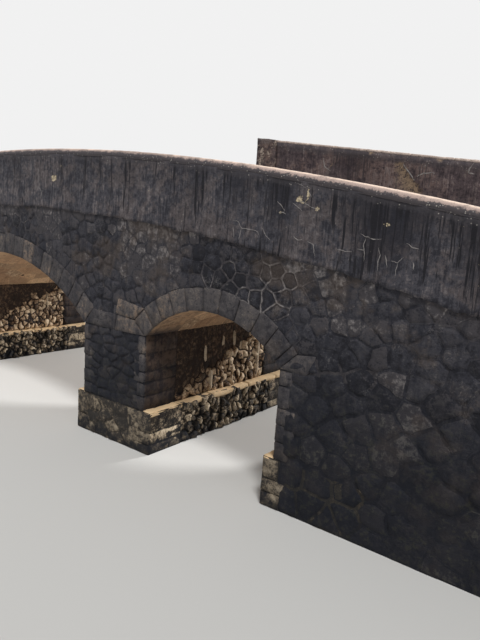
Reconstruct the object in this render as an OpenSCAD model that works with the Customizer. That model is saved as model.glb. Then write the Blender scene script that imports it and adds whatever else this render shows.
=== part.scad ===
// Stone road bridge with a humped deck on three segmental arches.
// X runs along the road, Y across it and Z up. The origin lies midway
// between the two faces, under the crown of the main arch, at low water.
// All sizes are in millimetres.

/* [Arches] */
// Clear span of the main arch
main_span = 6700; // [5800:50:7600]
// Rise of the main arch above its springing
main_rise = 1250; // [950:10:1500]
// Clear span of each side arch
side_span = 3100; // [2600:50:3700]
// Rise of each side arch above its springing
side_rise = 690; // [520:10:900]
// Height of the springing line above low water
spring_z = 2370; // [1900:10:2600]
// Depth of the main arch ring, from soffit to back
main_ring_d = 450; // [360:10:540]
// Depth of the side arch rings, from soffit to back
side_ring_d = 400; // [320:10:500]
// Number of wedge stones in the main arch ring
main_stones = 19; // [13:2:25]
// Number of wedge stones in each side arch ring
side_stones = 9; // [7:2:13]
// How far the arch rings stand proud of the wall faces
ring_proud = 20; // [5:5:60]
// How far the rough barrel vaults stand back from the dressed rings
barrel_recess = 30; // [10:5:60]
// Thickness of the rough barrel vaults
barrel_t = 380; // [300:10:480]
// Width of the sunk mortar joints between the wedge stones
joint_w = 14; // [6:1:24]
// Depth of the sunk mortar joints between the wedge stones
joint_d = 12; // [6:1:20]

/* [Piers and abutments] */
// Width of each river pier
pier_w = 1850; // [1500:25:2300]
// Length of each abutment block, along the road
abutment_w = 1600; // [1200:25:2200]
// Height of the stepped footings
footing_h = 850; // [500:10:1100]
// How far the footings step out past the piers and jambs
footing_step = 200; // [100:10:300]

/* [Walls and deck] */
// Width of the bridge over its two wall faces
bridge_w = 5000; // [4400:50:6000]
// Length of the bridge with both ramps
bridge_l = 28000; // [25000:100:30000]
// Thickness of the side walls, and length of the dressed rings under them
wall_t = 900; // [700:10:1100]
// Height of the coping above low water at the crown of the road
crown_z = 6030; // [5900:10:6400]
// Radius of the hump in the road, measured at the coping
hump_radius = 55000; // [48000:500:62000]
// Slope of the two straight ramps, in degrees
ramp_angle = 11.5; // [10:0.1:12.5]
// Number of straight lengths that the hump is laid out in
hump_lengths = 14; // [8:2:24]
// Thickness of the road surface between the parapets
road_t = 200; // [120:10:260]

/* [Parapets] */
// Height of a parapet with its coping, from the top of the side wall
parapet_h = 1250; // [1050:10:1350]
// Thickness of the parapets
parapet_t = 450; // [350:10:550]
// Height of the rounded coping
coping_h = 150; // [120:5:220]
// How far the coping laps over each face of the parapet
coping_lip = 20; // [5:5:50]
// Radius of the coping's two upper edges
coping_r = 60; // [30:5:90]
// Number of flats that round each upper edge of the coping
coping_flats = 5; // [2:1:8]

/* [Tall walls] */
// Height of the far side's tall walls above low water, at their pilasters
tall_wall_z = 6850; // [6600:10:7200]
// Slope of the top of the tall walls, in degrees
tall_wall_angle = 7.4; // [5.5:0.1:9]
// Height of the thin coping on the tall walls
tall_coping_h = 60; // [40:5:100]
// How far the thin coping laps over each face of the tall walls
tall_coping_lip = 15; // [5:5:20]
// Width of the pilasters that end the tall walls
pilaster_w = 570; // [450:10:750]
// Distance of the pilasters' inner edge from the middle of the pier below
pilaster_shift = 0; // [0:5:200]
// How far the pilasters stand out towards the road
pilaster_proud = 70; // [30:5:120]

/* [Hidden] */
$fn = 256;
left = -1;
right = 1;
near = -1;
far = 1;
rubble = "#6f665a";
dressed = "#77726a";
under_water = "#5d574d";
rendered = "#918d86";
coping_stone = "#b9aaa1";
old_render = "#6f6159";
earth = "#7b6a53";
gravel = "#8c8375";

// Outlines that only cut reach this much past what they cut
over = 500;
half_w = bridge_w / 2;
half_l = bridge_l / 2;
inner_w = half_w - wall_t;
road_w = half_w - parapet_t;
road_depth = parapet_h - road_t;

// Places along the road, on the right-hand half
pier_x = main_span / 2;
pier_mid = pier_x + pier_w / 2;
side_x = pier_x + pier_w + side_span / 2;
jamb_x = side_x + side_span / 2;
abutment_x = jamb_x + abutment_w;
pilaster_x = pier_mid + pilaster_shift;
wall_end_x = pilaster_x + pilaster_w;

// A segmental arch from its span, rise and depth: soffit radius, depth,
// half angle, height of its centre, and where the back of its end lies
function arch(span, rise, depth) =
    let (
        r = (span * span / 4 + rise * rise) / (2 * rise),
        angle = 2 * atan(2 * rise / span),
        centre = spring_z + rise - r
    )
    [r, depth, angle, centre, (r + depth) * sin(angle), centre + (r + depth) * cos(angle)];
function soffit_r(a) = a[0];
function ring_depth(a) = a[1];
function half_angle(a) = a[2];
function centre_z(a) = a[3];
function back_x(a) = a[4];
function back_z(a) = a[5];

main_ring = arch(main_span, main_rise, main_ring_d);
side_ring = arch(side_span, side_rise, side_ring_d);
main_barrel = arch(main_span + 2 * barrel_recess, main_rise + barrel_recess, barrel_t);
side_barrel = arch(side_span + 2 * barrel_recess, side_rise + barrel_recess, barrel_t);

// The coping line is an arc over the crown, set out in straight lengths,
// with a straight ramp at each end. Every lower line of the deck lies square
// below it by a depth, and its stations are counted from the left end.
hump_z = crown_z - hump_radius;
hump_steps = round(hump_lengths);
last_station = hump_steps + 2;
function ramp_z(x, depth) =
    hump_z + (hump_radius - depth) / cos(ramp_angle) - x * tan(ramp_angle);
function hump_point(angle, depth) =
    [(hump_radius - depth) * sin(angle), hump_z + (hump_radius - depth) * cos(angle)];
function deck_point(station, depth, end_x = half_l) =
    station == 0 ? [-end_x, ramp_z(end_x, depth)] :
    station == last_station ? [end_x, ramp_z(end_x, depth)] :
    hump_point(ramp_angle * (2 * (station - 1) / hump_steps - 1), depth);

// The straight top of a tall wall
function tall_z(x) = tall_wall_z - (x - pilaster_x) * tan(tall_wall_angle);

// Mirrors a right-hand piece to the left where it is asked for
module on(side)
    mirror([side == left ? 1 : 0, 0, 0]) children();

// Stands an outline of the X-Z plane up between two distances across the road
module stand(y1, y2)
    translate([0, y2, 0]) rotate([90, 0, 0]) linear_extrude(y2 - y1) children();

// The same for a piece of one face, measured outwards from the middle
module stand_on_face(face, y_in, y_out)
    stand(face == near ? -y_out : y_in, face == near ? -y_in : y_out) children();

// Everything below the deck line at a depth, out to the ends of the bridge
module below(depth, margin = 0) {
    end_x = half_l + margin;
    polygon(concat(
        [[end_x, -margin], [-end_x, -margin]],
        [for (station = [0 : last_station]) deck_point(station, depth, end_x)]
    ));
}

// The strip between two deck lines, within two places along the road
module deck_strip(top, bottom, x1, x2)
    intersection() {
        difference() {
            below(top);
            below(bottom, over);
        }
        translate([x1, 0]) square([x2 - x1, crown_z + over]);
    }

// The ring of an arch about its own centre
module ring_outline(a) {
    back_r = soffit_r(a) + ring_depth(a);
    wedge_r = 2 * back_r;
    difference() {
        intersection() {
            circle(r = back_r);
            polygon([
                [0, 0],
                [-wedge_r * sin(half_angle(a)), wedge_r * cos(half_angle(a))],
                [0, wedge_r],
                [wedge_r * sin(half_angle(a)), wedge_r * cos(half_angle(a))]
            ]);
        }
        circle(r = soffit_r(a));
    }
}

// A dressed ring: its wedge stones meet in radial joints, sunk on the face
// and along the soffit
module ring(x, a, stones, face) {
    outer_y = half_w + ring_proud;
    step = 2 * half_angle(a) / stones;
    color(dressed) translate([x, 0, centre_z(a)]) difference() {
        stand_on_face(face, inner_w, outer_y) ring_outline(a);
        for (i = [1 : stones - 1]) rotate([0, half_angle(a) - i * step, 0]) {
            translate([-joint_w / 2, face * outer_y - joint_d, soffit_r(a) - joint_d])
                cube([joint_w, 2 * joint_d, ring_depth(a) + 2 * joint_d]);
            translate([-joint_w / 2, face == near ? -outer_y - joint_d : inner_w - joint_d,
                       soffit_r(a) - joint_d])
                cube([joint_w, wall_t + ring_proud + 2 * joint_d, 2 * joint_d]);
        }
    }
}

// A rough barrel between the two rings of one arch
module vault(x, a)
    color(rubble) translate([x, 0, centre_z(a)]) stand(-inner_w, inner_w) ring_outline(a);

// Plan of a pier, footing or jamb between two places along the road. Its
// arch sides stand back behind the dressed ends.
module shaft_plan(x1, x2, open_sides = 2)
    difference() {
        translate([x1, -half_w]) square([x2 - x1, bridge_w]);
        translate([x1 - over, -inner_w]) square([over + barrel_recess, 2 * inner_w]);
        if (open_sides == 2)
            translate([x2 - barrel_recess, -inner_w]) square([over + barrel_recess, 2 * inner_w]);
    }

module footing_pier(side)
    color(under_water) on(side) linear_extrude(footing_h)
        shaft_plan(pier_x - footing_step, pier_x + pier_w + footing_step);

module footing_abutment(side)
    color(under_water) on(side) linear_extrude(footing_h)
        shaft_plan(jamb_x - footing_step, abutment_x, 1);

module pier(side)
    color(rubble) on(side) translate([0, 0, footing_h]) linear_extrude(spring_z - footing_h)
        shaft_plan(pier_x, pier_x + pier_w);

module abutment(side)
    color(rubble) on(side) translate([0, 0, footing_h]) linear_extrude(spring_z - footing_h)
        shaft_plan(jamb_x, abutment_x, 1);

// The springer courses carry the ends of the rings and barrels on slopes
// that point at the centres of the arches
module springer_pier(side)
    color(dressed) on(side) {
        for (face = [near, far]) stand_on_face(face, inner_w, half_w)
            springer_pier_outline(main_ring, side_ring, 0);
        stand(-inner_w, inner_w) springer_pier_outline(main_barrel, side_barrel, barrel_recess);
    }

module springer_pier_outline(main_a, side_a, recess)
    polygon([
        [pier_x + recess, spring_z],
        [back_x(main_a), back_z(main_a)],
        [side_x - back_x(side_a), back_z(side_a)],
        [pier_x + pier_w - recess, spring_z]
    ]);

module springer_abutment(side)
    color(dressed) on(side) {
        for (face = [near, far]) stand_on_face(face, inner_w, half_w)
            springer_abutment_outline(side_ring, 0);
        stand(-inner_w, inner_w) springer_abutment_outline(side_barrel, barrel_recess);
    }

module springer_abutment_outline(side_a, recess)
    polygon([
        [jamb_x + recess, spring_z],
        [side_x + back_x(side_a), back_z(side_a)],
        [abutment_x, back_z(side_a)],
        [abutment_x, spring_z]
    ]);

// What lies over the arches and springers between two places, up to the
// foot of the parapets
module over_arches(x1, x2, main_a, side_a)
    difference() {
        intersection() {
            below(parapet_h);
            translate([x1, 0]) square([x2 - x1, crown_z]);
        }
        polygon([
            [-abutment_x, -over],
            [-abutment_x, back_z(side_a)],
            [-side_x - back_x(side_a), back_z(side_a)],
            [-side_x + back_x(side_a), back_z(side_a)],
            [-back_x(main_a), back_z(main_a)],
            [back_x(main_a), back_z(main_a)],
            [side_x - back_x(side_a), back_z(side_a)],
            [side_x + back_x(side_a), back_z(side_a)],
            [abutment_x, back_z(side_a)],
            [abutment_x, -over]
        ]);
        if (x1 < 0)
            translate([0, centre_z(main_a)]) circle(r = soffit_r(main_a) + ring_depth(main_a));
        if (x2 > pier_mid)
            translate([side_x, centre_z(side_a)]) circle(r = soffit_r(side_a) + ring_depth(side_a));
    }

module spandrel_centre(face)
    color(rubble) stand_on_face(face, inner_w, half_w)
        over_arches(-pier_mid, pier_mid, main_ring, side_ring);

module spandrel_side(side, face)
    color(rubble) on(side) stand_on_face(face, inner_w, half_w)
        over_arches(pier_mid, abutment_x, main_ring, side_ring);

module wing_wall(side, face)
    color(rubble) on(side) stand_on_face(face, inner_w, half_w)
        intersection() {
            below(parapet_h);
            translate([abutment_x, 0]) square([half_l - abutment_x, crown_z]);
        }

// Earth and stones between the side walls
module fill_centre()
    color(earth) stand(-inner_w, inner_w)
        over_arches(-pier_mid, pier_mid, main_barrel, side_barrel);

module fill_side(side)
    color(earth) on(side) stand(-inner_w, inner_w)
        over_arches(pier_mid, half_l, main_barrel, side_barrel);

module roadway()
    color(gravel) stand(-road_w, road_w) deck_strip(road_depth, parapet_h, -half_l, half_l);

module parapet_near()
    color(rendered) stand_on_face(near, road_w, half_w)
        deck_strip(coping_h, parapet_h, -half_l, half_l);

module parapet_far()
    color(rendered) stand_on_face(far, road_w, half_w)
        deck_strip(coping_h, parapet_h, -pilaster_x, pilaster_x);

// Cross-section of the coping, as pairs of a distance across the road and a
// depth below the coping line
function coping_edge(side) =
    [for (flat = [0 : coping_flats])
        let (angle = 90 * flat / coping_flats)
        [side * (coping_half_w - coping_r * (1 - sin(angle))), coping_r * (1 - cos(angle))]];
coping_half_w = parapet_t / 2 + coping_lip;
coping_section = concat(
    [[-coping_half_w, coping_h]],
    [for (flat = [coping_flats : -1 : 0]) coping_edge(-1)[flat]],
    coping_edge(1),
    [[coping_half_w, coping_h]]
);

// The coping of one face, its section carried from station to station, and
// kept between the two ends of its parapet
module coping(face, end_x) {
    sides = len(coping_section);
    points = [for (station = [0 : last_station]) for (corner = coping_section)
        let (place = deck_point(station, corner[1]))
        [place[0], corner[0], place[1]]];
    skin = [for (station = [0 : last_station - 1]) for (i = [0 : sides - 1])
        let (next = (i + 1) % sides, row = station * sides)
        [row + i, row + next, row + sides + next, row + sides + i]];
    start = [[for (i = [sides - 1 : -1 : 0]) i]];
    end = [[for (i = [0 : sides - 1]) last_station * sides + i]];
    color(coping_stone) intersection() {
        translate([0, face * (half_w - parapet_t / 2), 0])
            polyhedron(points, concat(skin, start, end));
        translate([-end_x, -bridge_w, 0]) cube([2 * end_x, 2 * bridge_w, crown_z + over]);
    }
}

// The far side's tall wall runs up a ramp from its pilaster's foot
module tall_wall_outline(x1, x2, top_depth)
    polygon([
        [x1, 0],
        [x1, tall_z(x1) - top_depth],
        [x2, tall_z(x2) - top_depth],
        [x2, 0]
    ]);

module tall_wall(side)
    color(old_render) on(side) stand_on_face(far, road_w, half_w)
        difference() {
            tall_wall_outline(wall_end_x, half_l, tall_coping_h);
            below(parapet_h, over);
        }

module tall_coping(side)
    color(coping_stone) on(side) stand_on_face(far, road_w - tall_coping_lip, half_w + tall_coping_lip)
        difference() {
            tall_wall_outline(wall_end_x, half_l, 0);
            translate([0, -tall_coping_h]) tall_wall_outline(wall_end_x - over, half_l + over, 0);
        }

module pilaster(side)
    color(old_render) on(side) {
        stand_on_face(far, road_w, half_w) difference() {
            tall_wall_outline(pilaster_x, wall_end_x, 0);
            below(parapet_h, over);
        }
        stand_on_face(far, road_w - pilaster_proud, road_w) difference() {
            tall_wall_outline(pilaster_x, wall_end_x, 0);
            below(road_depth, over);
        }
    }

footing_abutment(left);  // footing_abutment_left
footing_pier(left);  // footing_pier_left
footing_pier(right);  // footing_pier_right
footing_abutment(right);  // footing_abutment_right
abutment(left);  // abutment_left
pier(left);  // pier_left
pier(right);  // pier_right
abutment(right);  // abutment_right
springer_abutment(left);  // springer_abutment_left
springer_pier(left);  // springer_pier_left
springer_pier(right);  // springer_pier_right
springer_abutment(right);  // springer_abutment_right
ring(-side_x, side_ring, side_stones, near);  // ring_left_near
ring(0, main_ring, main_stones, near);  // ring_main_near
ring(side_x, side_ring, side_stones, near);  // ring_right_near
ring(-side_x, side_ring, side_stones, far);  // ring_left_far
ring(0, main_ring, main_stones, far);  // ring_main_far
ring(side_x, side_ring, side_stones, far);  // ring_right_far
vault(-side_x, side_barrel);  // vault_left
vault(0, main_barrel);  // vault_main
vault(side_x, side_barrel);  // vault_right
spandrel_side(left, near);  // spandrel_left_near
spandrel_centre(near);  // spandrel_centre_near
spandrel_side(right, near);  // spandrel_right_near
spandrel_side(left, far);  // spandrel_left_far
spandrel_centre(far);  // spandrel_centre_far
spandrel_side(right, far);  // spandrel_right_far
wing_wall(left, near);  // wing_wall_left_near
wing_wall(right, near);  // wing_wall_right_near
wing_wall(left, far);  // wing_wall_left_far
wing_wall(right, far);  // wing_wall_right_far
fill_side(left);  // fill_left
fill_centre();
fill_side(right);  // fill_right
roadway();
parapet_near();
parapet_far();
coping(near, half_l);  // coping_near
coping(far, pilaster_x);  // coping_far
tall_wall(left);  // tall_wall_left
tall_wall(right);  // tall_wall_right
tall_coping(left);  // tall_coping_left
tall_coping(right);  // tall_coping_right
pilaster(left);  // pilaster_left
pilaster(right);  // pilaster_right
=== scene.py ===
# Looks of the stone road bridge: its masonry, render, copings and road,
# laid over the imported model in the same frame, in metres.

import math
import random

import bmesh
import bpy
from mathutils import Matrix, Vector, noise


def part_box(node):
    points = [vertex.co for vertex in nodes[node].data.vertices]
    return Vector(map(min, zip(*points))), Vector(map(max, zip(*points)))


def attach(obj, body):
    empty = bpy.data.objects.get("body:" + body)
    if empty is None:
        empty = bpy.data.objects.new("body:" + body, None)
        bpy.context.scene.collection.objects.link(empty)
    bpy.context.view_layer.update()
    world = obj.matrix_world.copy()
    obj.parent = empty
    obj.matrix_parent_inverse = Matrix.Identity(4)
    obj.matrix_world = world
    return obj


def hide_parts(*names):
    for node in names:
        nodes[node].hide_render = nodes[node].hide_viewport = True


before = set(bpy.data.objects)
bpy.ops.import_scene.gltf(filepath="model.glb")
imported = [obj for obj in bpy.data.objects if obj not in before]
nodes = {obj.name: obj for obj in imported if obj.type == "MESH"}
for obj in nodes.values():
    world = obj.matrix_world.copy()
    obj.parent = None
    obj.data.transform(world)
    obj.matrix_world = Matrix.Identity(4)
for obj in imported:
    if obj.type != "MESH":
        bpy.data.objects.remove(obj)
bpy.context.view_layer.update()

# Without a seed, noise_vector gives another roughness on every run
noise.seed_set(11)

# Camera at the photograph's viewing angle
camera_place = Vector((12.70, -9.50, 4.44))
camera_yaw, camera_pitch, camera_roll = (math.radians(a) for a in (36.88, 9.25, 3.57))
focal_pixels, image_height, sensor_size = 536, 640, 36

# Places on the bridge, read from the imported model
near, far = -1, 1
both_faces = (near, "near"), (far, "far")
both_ends = (-1, "left"), (1, "right")
road_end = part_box("coping_near")[1].x
wall_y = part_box("spandrel_centre_far")[1].y
inner_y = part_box("vault_main")[1].y
road_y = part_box("roadway")[1].y
crown_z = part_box("coping_near")[1].z
spring_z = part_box("pier_right")[1].z
footing_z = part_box("footing_pier_right")[1].z
pier_in, pier_out = (corner.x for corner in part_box("pier_right"))
jamb_x, abutment_back = (corner.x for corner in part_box("abutment_right"))
pilaster_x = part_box("pilaster_right")[0].x
tall_wall_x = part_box("tall_wall_right")[0].x
tall_wall_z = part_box("pilaster_right")[1].z
footing_step = pier_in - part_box("footing_pier_right")[0].x
pilaster_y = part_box("pilaster_right")[0].y

# Sizes that repeat the model's own
main_rise, side_rise = 1.25, 0.69
barrel_recess = 0.03
hump_radius, ramp_angle = 55.0, math.radians(11.5)
coping_h, parapet_h, road_depth = 0.15, 1.25, 1.05
coping_half_width = 0.245
render_depth = parapet_h + 0.03
tall_wall_slope = math.tan(math.radians(7.4))
tall_coping_h = 0.06

# Depth to which the stones and the render are bedded in the walls
bed = 0.04


def clamp(value, low=0.0, high=1.0):
    return max(low, min(high, value))


def drift(x, y=0.0, z=0.0):
    """Smooth noise from about -1 to 1."""
    return noise.noise(Vector((x, y, z)))


def deck_z(x, depth):
    """Height of the deck line that lies a depth under the coping's top."""
    radius = hump_radius - depth
    slope = clamp(math.asin(clamp(x / radius, -1, 1)), -ramp_angle, ramp_angle)
    return crown_z - hump_radius + (radius - x * math.sin(slope)) / math.cos(slope)


def deck_slope(x):
    return clamp(math.asin(x / hump_radius), -ramp_angle, ramp_angle)


def tall_z(x):
    """Height of the top of the tall walls."""
    return tall_wall_z - (abs(x) - pilaster_x) * tall_wall_slope


class Arch:
    """A segmental arch with its ring of wedge stones."""

    def __init__(self, x, half_span, rise, ring_node, stones):
        self.x, self.rise, self.stones = x, rise, stones
        self.radius = (half_span ** 2 + rise ** 2) / (2 * rise)
        self.z = spring_z + rise - self.radius
        self.half_angle = 2 * math.atan(rise / half_span)
        self.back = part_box(ring_node)[1].z - self.z

    def point(self, angle, radius):
        return self.x + radius * math.sin(angle), self.z + radius * math.cos(angle)

    def foot(self, side, radius):
        return self.point(side * self.half_angle, radius)


side_x = (pier_out + jamb_x) / 2
main_arch = Arch(0, pier_in, main_rise, "ring_main_near", 19)
left_arch = Arch(-side_x, jamb_x - side_x, side_rise, "ring_left_near", 9)
right_arch = Arch(side_x, jamb_x - side_x, side_rise, "ring_right_near", 9)
arches = {"left": left_arch, "main": main_arch, "right": right_arch}


# Shader maths on sockets

def paint(colour):
    """A colour as it looks on screen, from 0 to 255, in the renderer's own units."""
    parts = (part / 255 for part in colour)
    return tuple(c / 12.92 if c <= 0.04045 else ((c + 0.055) / 1.055) ** 2.4 for c in parts) + (1.0,)


class Sock:
    """An output of a node, on which + - * and abs add the Math nodes."""

    def __init__(self, tree, socket):
        self.tree, self.socket = tree, socket

    def math(self, operation, *values):
        return self.tree.node("Math", {"operation": operation}, values)

    def __add__(self, other):
        return self.math("ADD", self, other)

    __radd__ = __add__

    def __sub__(self, other):
        return self.math("SUBTRACT", self, other)

    def __rsub__(self, other):
        return self.math("SUBTRACT", other, self)

    def __mul__(self, other):
        return self.math("MULTIPLY", self, other)

    def __abs__(self):
        return self.math("ABSOLUTE", self)

    def step(self, low, high):
        """0 under low and 1 over high, with a soft change between."""
        return self.tree.node("MapRange", {"interpolation_type": "SMOOTHSTEP"}, (self, low, high))


class Nodes:
    """The node tree of a material or a world."""

    def __init__(self, owner):
        owner.use_nodes = True
        self.tree = owner.node_tree

    def node(self, kind, settings=None, values=(), out=0):
        made = self.tree.nodes.new("ShaderNode" + kind)
        for name, value in (settings or {}).items():
            setattr(made, name, value)
        self.feed(made, values)
        return Sock(self, made.outputs[out])

    def feed(self, node, values):
        """Links or sets a node's inputs, by their names or in their order."""
        for key, value in values.items() if isinstance(values, dict) else enumerate(values):
            if isinstance(value, Sock):
                self.tree.links.new(value.socket, node.inputs[key])
            else:
                node.inputs[key].default_value = value


class Finish(Nodes):
    """A material whose colour, roughness and relief are worked out by nodes."""

    def __init__(self, name):
        self.material = bpy.data.materials.new(name)
        super().__init__(self.material)
        self.shader = self.tree.nodes["Principled BSDF"]
        self.shader.inputs["Specular IOR Level"].default_value = 0.25
        self.place = self.node("TexCoord", out="Object")
        self.along, self.across, self.height = [
            self.node("SeparateXYZ", {}, (self.place,), axis) for axis in ("X", "Y", "Z")]

    def value_of(self, attribute):
        """A number kept on the mesh, such as a stone's tone."""
        return self.node("Attribute", {"attribute_name": attribute}, out="Fac")

    def spots(self, scale, stretch=(1, 1, 1), detail=6.0, roughness=0.55):
        where = self.node("VectorMath", {"operation": "MULTIPLY"}, (self.place, stretch))
        settings = {"Vector": where, "Scale": scale, "Detail": detail, "Roughness": roughness}
        return self.node("TexNoise", {}, settings, "Fac")

    def cells(self, scale, out="Distance"):
        return self.node("TexVoronoi", {}, {"Vector": self.place, "Scale": scale}, out)

    def blend(self, first, second, share):
        first, second = (paint(c) if isinstance(c, tuple) else c for c in (first, second))
        return self.node("Mix", {"data_type": "RGBA"}, {0: share, 6: first, 7: second}, 2)

    def layers(self, colour, *coats):
        """A colour under coats of others, each with how much of it shows."""
        for coat, share in coats:
            colour = self.blend(colour, coat, share)
        return colour

    def ramp(self, factor, stops):
        shade = self.node("ValToRGB", {}, (factor,), "Color")
        elements = shade.socket.node.color_ramp.elements
        while len(elements) < len(stops):
            elements.new(1.0)
        for element, (position, colour) in zip(elements, stops):
            element.position, element.color = position, paint(colour)
        return shade

    def close(self, colour, roughness, relief, depth):
        """Feeds the shader; depth is the relief's height in metres."""
        normal = self.node("Bump", {}, {"Strength": 1.0, "Distance": depth, "Height": relief}, "Normal")
        self.feed(self.shader, {"Base Color": colour, "Roughness": roughness, "Normal": normal})
        return self.material


# Finishes of the bridge

def masonry_finish(name, shades, mortar_pale, mortar_dull, weathering=0.5, contrast=1.0,
                   indoors=None, painted_bounce_light=None, outdoors=None, damp_and_shade_top=None, damp_and_shade_fade=1.0):
    """Rough stones that differ in shade, with lime mortar where the mesh says so.
    Indoors is the colour of what lies under the arches, and outdoors of the rest;
    the colour for the part of it above their springing is painted light, reflected
    up onto it. Damp darkens what lies under its top, partly standing for painted
    shade on the wall faces, and reaches its full depth the fade lower."""
    finish = Finish(name)
    tone, lime = finish.value_of("tone"), finish.value_of("lime")
    cloud = finish.spots(0.6, (1, 1, 1.4), 4.0)
    blotch = finish.spots(3.4, roughness=0.62)
    crust = finish.spots(11.0, roughness=0.72)
    grain = finish.spots(34.0, roughness=0.75)
    pits = finish.cells(30.0)
    runs = finish.spots(1.0, (8.0, 8.0, 0.7), 5.0, 0.62)

    mottle = ((blotch - 0.5) * 0.9 * contrast + (crust - 0.5) * 1.2 * contrast
              + (grain - 0.5) * 0.7 * contrast)
    pocks = (grain * 0.5 + crust * 0.5).step(0.47, 0.39) * 0.75 * min(1.0, contrast)
    lichen = finish.cells(13.0).step(0.15, 0.07) * crust.step(0.54, 0.60) * cloud.step(0.46, 0.60)
    stone = finish.layers(
        finish.ramp(tone * 0.75 + 0.12 + mottle, shades),
        ((30, 29, 33), pocks),
        ((140, 136, 132), (grain * 0.6 + blotch * 0.4).step(0.55, 0.63) * 0.30),
        ((168, 164, 156), lichen * weathering))
    mortar = finish.layers(
        mortar_dull,
        (mortar_pale, (crust * 0.6 + cloud * 0.25 + lime * 0.35).step(0.64, 0.76)),
        ((52, 50, 52), (grain * 0.6 + crust * 0.4).step(0.47, 0.39) * 0.7))
    mortared = (lime * 1.15 + (crust - 0.5) * 1.1 + (grain - 0.5) * 0.7).step(0.34, 0.56)
    colour = finish.blend(stone, mortar, mortared * 0.9)

    aside = abs(finish.across) - (crust - 0.5) * 0.05
    under = (aside.step(wall_y - 0.015, wall_y - 0.05)
             * abs(finish.along).step(abutment_back - 0.3, abutment_back - 0.5))
    if indoors:
        tint = finish.blend(indoors, (50, 38, 33), (blotch * 0.6 + crust * 0.4).step(0.56, 0.42))
        if painted_bounce_light:
            tint = finish.blend(tint, painted_bounce_light, finish.height.step(spring_z, spring_z + 0.25) * 0.9)
        colour = finish.blend(colour, tint, under * 0.78)
    if outdoors:
        colour = finish.blend(colour, outdoors, (1 - under) * 0.62)

    stain = (runs * 0.6 + cloud * 0.4).step(0.50, 0.58) * 0.55
    earthy = (blotch * 0.4 + cloud * 0.6).step(0.50, 0.60)
    colour = finish.layers(
        colour,
        ((30, 32, 41), stain * weathering * 2),
        ((96, 82, 69), earthy * weathering * 0.6),
        (mortar_dull, (runs * 0.5 + blotch * 0.5).step(0.46, 0.38) * 0.30))
    # Darker towards the foot: damp, and on the wall faces partly painted shade of the bushes that grow there.
    if damp_and_shade_top:
        level = finish.height + (blotch - 0.5) * 1.2 + (cloud - 0.5) * 1.5
        damp_and_shade = level.step(damp_and_shade_top, damp_and_shade_top - damp_and_shade_fade)
        colour = finish.layers(
            colour,
            ((16, 19, 28), damp_and_shade * 0.74),
            ((60, 60, 44), crust.step(0.52, 0.64) * damp_and_shade * 0.3))
    relief = blotch * 0.45 + crust * 0.5 + grain * 0.35 - pits.step(0.22, 0.05) * 0.15
    return finish.close(colour, 0.84 + (grain - 0.5) * 0.2, relief, 0.045)


def render_finish(name, body, dark, pale, warm, core, streak_strength, core_blur=0.16):
    """Old lime render with run-off streaks, stains and, under the coping, lichen.
    Where bare is high the render's skin has fallen off and its core shows."""
    finish = Finish(name)
    high, soot, bare = (finish.value_of(layer) for layer in ("high", "soot", "bare"))
    cloud = finish.spots(0.8, (1, 1, 1.2), 5.0, 0.62)
    blotch = finish.spots(4.2, roughness=0.70)
    crust = finish.spots(14.0, roughness=0.74)
    grain = finish.spots(48.0, detail=5.0, roughness=0.75)
    runs = finish.spots(1.0, (10.0, 10.0, 0.45), 4.0, 0.55)
    fine_runs = finish.spots(1.0, (26.0, 26.0, 1.3), 4.0, 0.62)

    hung = soot * (high * 0.9 + 0.35)
    sooty = hung + (cloud - 0.5) * 2.0 + (fine_runs - 0.5) * 3.0 + (blotch - 0.5) * 1.5
    streak = runs * 0.46 + fine_runs * 0.50 + crust * 0.04 + soot * 0.06 + high * 0.05
    band = (high + (crust - 0.5) * 0.12).step(0.89, 0.95)
    lichen = finish.cells(20.0).step(0.22, 0.10) * blotch.step(0.46, 0.54)
    ragged = ((crust - 0.5) * 2.4 + (blotch - 0.5) * 1.2) * (1.0 if core_blur < 0.3 else 0.4)
    fallen = (bare + ragged).step(0.58 - core_blur / 2, 0.58 + core_blur / 2)
    worn_core = finish.blend(dark, core, (crust * 0.5 + grain * 0.5).step(0.42, 0.54))
    colour = finish.layers(
        body,
        (warm, (cloud * 0.5 + blotch * 0.5).step(0.46, 0.56) * 0.85),
        (pale, (blotch * 0.35 + crust * 0.3 + fine_runs * 0.35).step(0.50, 0.58) * 0.85),
        (dark, (blotch * 0.4 + fine_runs * 0.3 + crust * 0.3).step(0.49, 0.43) * 0.8),
        (dark, sooty.step(0.40, 1.15) * 0.8),
        ((26, 25, 30), streak.step(0.600, 0.645) * streak_strength),
        (dark, (crust * 0.5 + grain * 0.5).step(0.47, 0.38) * 0.7),
        ((72, 69, 73), band * 0.5),
        ((176, 171, 164), lichen * (band * 0.8 + crust.step(0.58, 0.64) * 0.4)),
        (worn_core, fallen * 0.9))
    relief = blotch * 0.45 + crust * 0.4 + grain * 0.25 + fine_runs * 0.10 - fallen * 0.35
    return finish.close(colour, 0.86 + (blotch - 0.5) * 0.2, relief, 0.030)


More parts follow.
